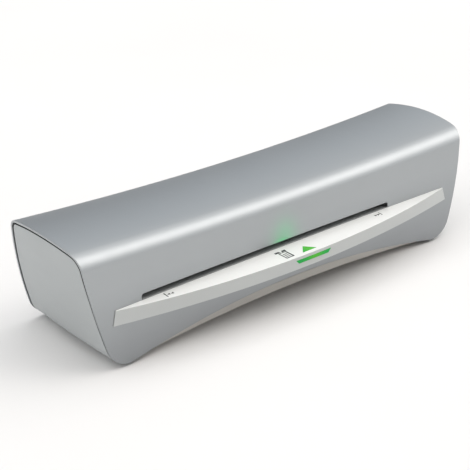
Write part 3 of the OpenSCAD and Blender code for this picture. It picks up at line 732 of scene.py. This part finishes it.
ts = np.sin(np.linspace(-math.pi / 2, math.pi / 2, 91)) * 0.55 + np.linspace(-1, 1, 91) * 0.45
shelf_rings = [shelf_ring(float(t)) for t in ts]
v, f = ring_loft(shelf_rings)
shelf = mesh_object("entry_shelf_body", v, f)
me = shelf.data
m = len(shelf_rings[0])
att = me.attributes.new("bevel_weight_edge", "FLOAT", "EDGE")
corner_cols = {0, 5}
last = (len(shelf_rings) - 1) * m
for e in me.edges:
    a, b = e.vertices
    ja, ka, jb, kb = a // m, a % m, b // m, b % m
    w = 0.0
    if ka == kb and ka in corner_cols and ja != jb:
        w = 1.0
    if ja == jb and ja in (0, len(shelf_rings) - 1) and not ({ka, kb} == {10, 11}):
        w = 1.0
    att.data[e.index].value = w
bevel(shelf, 0.55, 3, weights=True)


def prism_y(pts, y0, y1):
    n = len(pts)
    V = [(x, y0, z) for x, z in pts] + [(x, y1, z) for x, z in pts]
    F = [tuple(range(n)), tuple(range(2 * n - 1, n - 1, -1))]
    F += [(i, n + i, n + (i + 1) % n, (i + 1) % n) for i in range(n)]
    return V, F


def prism_z(pts, z0, z1):
    n = len(pts)
    V = [(x, y, z0) for x, y in pts] + [(x, y, z1) for x, y in pts]
    F = [tuple(range(n)), tuple(range(2 * n - 1, n - 1, -1))]
    F += [(i, n + i, n + (i + 1) % n, (i + 1) % n) for i in range(n)]
    return V, F


bar_hole = prism_y([(-16, 43.05), (-13.1, 39.85), (16.7, 39.85), (19.4, 43.05)], -64, -56.5)
tri_hole = prism_z([(-6.4, -56.4), (7.9, -56.4), (0.9, -48.2)], SZ - 1, SZ + 2)
v, f = merge([bar_hole, tri_hole])
cutter = mesh_object("cutter", v, f)
cut(shelf, cutter)
smooth(shelf, 30)
piece(shelf, "casing", "shelf", "entry_shelf")

# sill of the slot, the deck's edge that runs in over the casing wall
xs_sill = list(np.linspace(SX0 + 0.1, SX1 - 0.1, 81))
sill_sec = [(0.05, -0.8), (0.05, -0.22), (0.25, -0.03), (5.2, -0.03), (5.4, -0.14), (5.4, -0.8)]
v, f = ring_loft([[(x, panel_y(x, SZ) + d, SZ + h) for d, h in sill_sec] for x in xs_sill])
sill = mesh_object("slot_sill", v, f)
smooth(sill, 30)
piece(sill, "casing", "guide_grey", mat=MAT["sill_grey"])

# light bar, a lens set flush in the front of the shelf
v, f = prism_y([(-15.9, 42.95), (-13.05, 39.95), (16.65, 39.95), (19.3, 42.95)], -60.12, -56.52)
bar = mesh_object("light_bar_lens", v, f)
bevel(bar, 0.25, 3, 30.0)
smooth(bar, 40)
piece(bar, "casing", "light_green", "light_bar")
v, f = prism_z([(-6.3, -56.35), (7.8, -56.35), (0.9, -48.3)], SZ - 0.98, SZ + 0.02)
arrow = mesh_object("feed_arrow_lens", v, f)
bevel(arrow, 0.18, 3, 30.0)
smooth(arrow, 40)
piece(arrow, "casing", "light_green", "feed_arrow")

# ------------------------------------------------------------------ printed marks on the shelf
ZP = SZ + 0.02


def strip(p, q, w, h=0.1):
    """Thin printed line from p to q, w wide."""
    d = np.array(q, float) - np.array(p, float)
    d /= np.linalg.norm(d)
    s = np.array([-d[1], d[0]]) * w / 2
    pts = [tuple(np.array(p) + s), tuple(np.array(p) - s), tuple(np.array(q) - s), tuple(np.array(q) + s)]
    return prism_z(pts, ZP, ZP + h)


marks = []
fx0, fx1, fy0, fy1 = -22.2, -14.4, -56.3, -46.6
marks += [strip((fx0, fy0 + 0.45), (fx1, fy0 + 0.45), 0.9), strip((fx0, fy1 - 0.3), (fx1, fy1 - 0.3), 0.7)]
marks += [strip((fx0 + 0.4, fy0 + 0.9), (fx0 + 0.4, fy1 - 0.65), 0.8), strip((fx1 - 0.6, fy0 + 0.9), (fx1 - 0.6, fy1 - 0.65), 1.2)]
for i in range(3):
    marks.append(strip((-20.6, -53.9 + 2.0 * i), (-16.7, -53.9 + 2.0 * i), 0.7))
# thick leading edge with an arrow notch
marks.append(prism_z([(-24.1, -46.0), (-24.1, -44.0), (-20.1, -44.0), (-19.1, -46.0)], ZP, ZP + 0.1))
marks.append(prism_z([(-17.9, -46.0), (-16.9, -44.0), (-13.6, -44.0), (-13.6, -46.0)], ZP, ZP + 0.1))


def pointer(x, y, s):
    """Small solid arrowhead that points along x."""
    return prism_z([(x, y), (x + s * 2.3, y + 1.15), (x + s * 2.3, y - 1.15)], ZP, ZP + 0.1)


# pouch width lines with two pointers each
marks += [strip((-125.2, -41.6), (-125.5, -47.4), 0.8), pointer(-124.2, -44.7, 1), pointer(-121.3, -45.0, 1)]
marks += [strip((88.4, -42.0), (88.4, -46.6), 0.7), pointer(87.4, -44.6, -1), pointer(84.6, -44.4, -1)]
v, f = merge(marks)
sym = mesh_object("shelf_marks", v, f)
smooth(sym, 30, weighted=False)
piece(sym, "casing", "print_dark", "feed_symbols")


# ------------------------------------------------------------------ softened copies of visible CAD pieces
def softened(name, node, body, width, segments=2, angle=35.0, merge_d=2e-6, dissolve=1.0):
    src = frame["nodes"][node]
    me = src.data.copy()
    me.name = name
    o = bpy.data.objects.new(name, me)
    scene.collection.objects.link(o)
    bm = bmesh.new()
    bm.from_mesh(me)
    bmesh.ops.remove_doubles(bm, verts=bm.verts, dist=merge_d)
    bmesh.ops.dissolve_limit(bm, angle_limit=math.radians(dissolve), verts=bm.verts, edges=bm.edges)
    bmesh.ops.recalc_face_normals(bm, faces=bm.faces)
    bm.to_mesh(me)
    bm.free()
    if width:
        bevel(o, width, segments, angle)
    smooth(o, 30)
    piece(o, body, NODE_SLOT[node], node)
    return o


softened("entry_guide_lips", "entry_guide", "casing", 0.35)
softened("exit_guide_lips", "exit_guide", "casing", 0.45)
softened("release_lever_moulding", "release_lever", "release", 0.45, 3)
softened("switch_housing", "power_switch_body", "casing", 0.4, 3)


softened("base_tray_moulding", "base_tray", "casing", 0.35)
softened("pouch_sensor_window", "pouch_sensor", "casing", 0.18, 3)
softened("status_led_lens", "status_led", "casing", 0.22, 3)


def lathe_piece(name, slot, node, places, profile, n, axis, angle=30.0, recess=None):
    """Turned copies of one profile at several places, with an optional cut in each."""
    v, f = merge([lathe(profile, n, c, axis) for c in places])
    o = mesh_object(name, v, f)
    clean(o)
    if recess:
        rv, rf = merge([recess(c) for c in places])
        cut(o, mesh_object("cutter", rv, rf))
    smooth(o, angle)
    return piece(o, "casing", slot, node)


def quarter(c, r, a0, a1, n=5):
    return [(c[0] + r * math.cos(a), c[1] + r * math.sin(a)) for a in np.radians(np.linspace(a0, a1, n))]


# ------------------------------------------------------------------ rear gland, feet and their screws
gland = [(3.7, -5.8), (4.0, -6.0), (5.8, -6.0), (6.0, -5.8), (6.0, -5.6), (7.8, -5.6), (8.0, -5.4), (8.0, -4.0), (7.8, -3.8), (6.0, -3.8),
         (6.0, 0.9), (8.35, 0.9)] + quarter((8.1, 1.4), 0.5, -35, 35) + quarter((7.6, 1.9), 0.5, 20, 90) + \
        [(6.9, 2.4), (6.7, 2.15), (6.3, 2.15), (6.1, 2.4)] + quarter((4.5, 1.6), 0.8, 90, 180)
lathe_piece("cord_gland_turned", NODE_SLOT["cord_gland"], "cord_gland", [(150, rear_y(150, 26), 26)], gland, 64, "y")
FEET = [(x, y, 0) for x in (-140, 140) for y in (-27, 44)]
foot = [(3.2, 0.25), (3.45, 0.0), (5.7, 0.0)] + quarter((5.7, 0.8), 0.8, -80, 0) + [(6.5, 3.1), (6.35, 3.28), (1.7, 3.28), (1.7, 1.66), (3.2, 1.66)]
lathe_piece("rubber_feet_moulded", NODE_SLOT["rubber_feet"], "rubber_feet", FEET, foot, 48, "z")


def box_z(x0, x1, y0, y1, z0, z1):
    return prism_z([(x0, y0), (x1, y0), (x1, y1), (x0, y1)], z0, z1)


def cross(c):
    a = prism_z([(c[0] + s * u, c[1] + s * w) for u, w, s in
                 ((1.7, -0.38, 1), (1.7, 0.38, 1), (0.38, 0.38, 1), (0.38, 1.7, 1), (-0.38, 1.7, 1), (-0.38, 0.38, 1), (-1.7, 0.38, 1),
                  (-1.7, -0.38, 1), (-0.38, -0.38, 1), (-0.38, -1.7, 1), (0.38, -1.7, 1), (0.38, -0.38, 1))], 0.2, 1.2)
    return a


head = [(0.0, 0.7), (2.2, 0.7)] + quarter((2.2, 1.35), 0.65, -75, 0) + [(2.9, 1.62), (1.5, 1.62), (1.5, 12.9), (1.2, 13.4), (0.0, 13.62)]
head = [(min(r, 2.9), h) for r, h in head]
lathe_piece("base_screws_turned", NODE_SLOT["base_screws"], "base_screws", FEET, head, 32, "z", recess=cross)

# ------------------------------------------------------------------ power rocker
RK = (148.0, rear_y(148, 66) - 0.3, 65.9)
RT = math.radians(15)


def rocker_point(x, u, w):
    """x across, u outwards from the pivot, w up along the face."""
    return RK[0] + x, RK[1] + u * math.cos(RT) - w * math.sin(RT), RK[2] + u * math.sin(RT) + w * math.cos(RT)


face = [(1.9 + 0.7 * (w / 7.4) ** 2, w) for w in np.linspace(-7.4, 7.4, 17)]
prof = face + [(-2.2, 4.0), (-2.2, -4.0)]
v = [rocker_point(-4.8, u, w) for u, w in prof] + [rocker_point(4.8, u, w) for u, w in prof]
m = len(prof)
f = [tuple(range(m)), tuple(range(2 * m - 1, m - 1, -1))] + [(i, m + i, m + (i + 1) % m, (i + 1) % m) for i in range(m)]
rocker = mesh_object("rocker_moulding", v, f)
bevel(rocker, 0.35, 3, 40.0)
pin = [(0.0, -5.9), (0.85, -5.9), (1.0, -5.75), (1.0, 5.75), (0.85, 5.9), (0.0, 5.9)]
v, f = lathe(pin, 32, RK, "x")
cutter = mesh_object("cutter", v, f)
clean(cutter)
cut(rocker, cutter, "UNION")
smooth(rocker, 30)
piece(rocker, "rocker", NODE_SLOT["power_rocker"], "power_rocker")

# ------------------------------------------------------------------ pressure springs, round wire
def wire_coil(cx, cy, z0, z1, r, w, turns, steps=26, sides=10):
    n = int(steps * turns)
    V, F = [], []
    for i in range(n + 1):
        a = 2 * math.pi * i / steps
        t = i / n
        # closed end turns
        u = min(1.0, max(0.0, (t - 0.1) / 0.8))
        z = z0 + w + (z1 - z0 - 2 * w) * (0.045 * (t / 0.1 if t < 0.1 else 1) + 0.91 * u + 0.045 * ((t - 0.9) / 0.1 if t > 0.9 else 0))
        c = np.array([cx + r * math.cos(a), cy + r * math.sin(a), z])
        er = np.array([math.cos(a), math.sin(a), 0])
        for k in range(sides):
            b = 2 * math.pi * k / sides
            V.append(tuple(c + w * (math.cos(b) * er + math.sin(b) * np.array([0, 0, 1]))))
    for i in range(n):
        for k in range(sides):
            l = (k + 1) % sides
            F.append((i * sides + k, i * sides + l, (i + 1) * sides + l, (i + 1) * sides + k))
    F.append(tuple(range(sides)))
    F.append(tuple(n * sides + k for k in range(sides - 1, -1, -1)))
    return V, F


coils = [wire_coil(x, 30, 64.95, 75.3, 3.6, 0.5, 5) for x in (-149.25, 109.25)]
v, f = merge(coils)
springs = mesh_object("pressure_coils", v, f)
smooth(springs, 60, weighted=False)
piece(springs, "casing", "turned_steel", "pressure_springs")
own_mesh(springs)

# ------------------------------------------------------------------ floor and light
fl = 14.0
floor = mesh_object("floor", [(-fl, -fl, 0), (fl, -fl, 0), (fl, fl, 0), (-fl, fl, 0)], [(0, 1, 2, 3)], mm=False)
g = G("floor_white")
w = g.noise(3.0, 2.0)
g.link(g.mix(g.remap(w, 0.0, 1.0), (0.85, 0.845, 0.84), (0.87, 0.865, 0.86)), g.b.inputs["Base Color"])
g.b.inputs["Roughness"].default_value = 0.9
g.b.inputs["Specular IOR Level"].default_value = 0.1
floor.data.materials.append(g.m)

world = bpy.data.worlds.new("studio")
scene.world = world
world.use_nodes = True
nt = world.node_tree
nt.nodes.clear()
wo = nt.nodes.new("ShaderNodeOutputWorld")
bg = nt.nodes.new("ShaderNodeBackground")
tc = nt.nodes.new("ShaderNodeTexCoord")
sx = nt.nodes.new("ShaderNodeSeparateXYZ")
nt.links.new(tc.outputs["Generated"], sx.inputs[0])


def wmath(op, a, b, c=None):
    x = nt.nodes.new("ShaderNodeMath")
    x.operation = op
    for i, v in enumerate((a, b, c)):
        if v is None:
            continue
        if isinstance(v, (int, float)):
            x.inputs[i].default_value = v
        else:
            nt.links.new(v, x.inputs[i])
    return x.outputs[0]


def wramp(v, f0, f1, t0, t1):
    x = nt.nodes.new("ShaderNodeMapRange")
    x.interpolation_type = "SMOOTHSTEP"
    for k, q in (("From Min", f0), ("From Max", f1), ("To Min", t0), ("To Max", t1)):
        x.inputs[k].default_value = q
    nt.links.new(v, x.inputs["Value"])
    return x.outputs[0]


def arch_light(stops):
    """Brightness of the studio along an arch from the floor behind, over the top, to the floor in front."""
    x = nt.nodes.new("ShaderNodeValToRGB")
    r = x.color_ramp
    r.interpolation = "EASE"
    while len(r.elements) > 1:
        r.elements.remove(r.elements[-1])
    for k, (deg, val) in enumerate(stops):
        e = r.elements[0] if k == 0 else r.elements.new((deg + 180) / 360)
        e.position = (deg + 180) / 360
        c = val * GAIN / 8
        cold = 1.06 if deg < -35 else 0.975 if 5 < deg < 70 else 1.0
        e.color = (c / cold, c, c * cold, 1)
    nt.links.new(turn, x.inputs[0])
    return x.outputs[0]


# a soft arch of light over the table, brightest just in front of overhead on the right-hand side
turn = wmath("ARCTAN2", wmath("MULTIPLY", sx.outputs[1], -1.0), sx.outputs[2])
turn = wmath("MULTIPLY_ADD", turn, 0.5 / math.pi, 0.5)
right = arch_light(RIGHT)
left = arch_light(LEFT)
k = wramp(sx.outputs[0], 0.30, 0.50, 0.0, 1.0)
k = wmath("MULTIPLY", k, wramp(sx.outputs[0], 0.74, 0.92, 1.0, 0.0))
both = nt.nodes.new("ShaderNodeMix")
both.data_type = "RGBA"
for sock, src in ((both.inputs[0], k), (both.inputs[6], left), (both.inputs[7], right)):
    nt.links.new(src, sock)
lit = both.outputs[2]
bg.inputs[1].default_value = 8.0
nt.links.new(lit, bg.inputs[0])
nt.links.new(bg.outputs[0], wo.inputs[0])
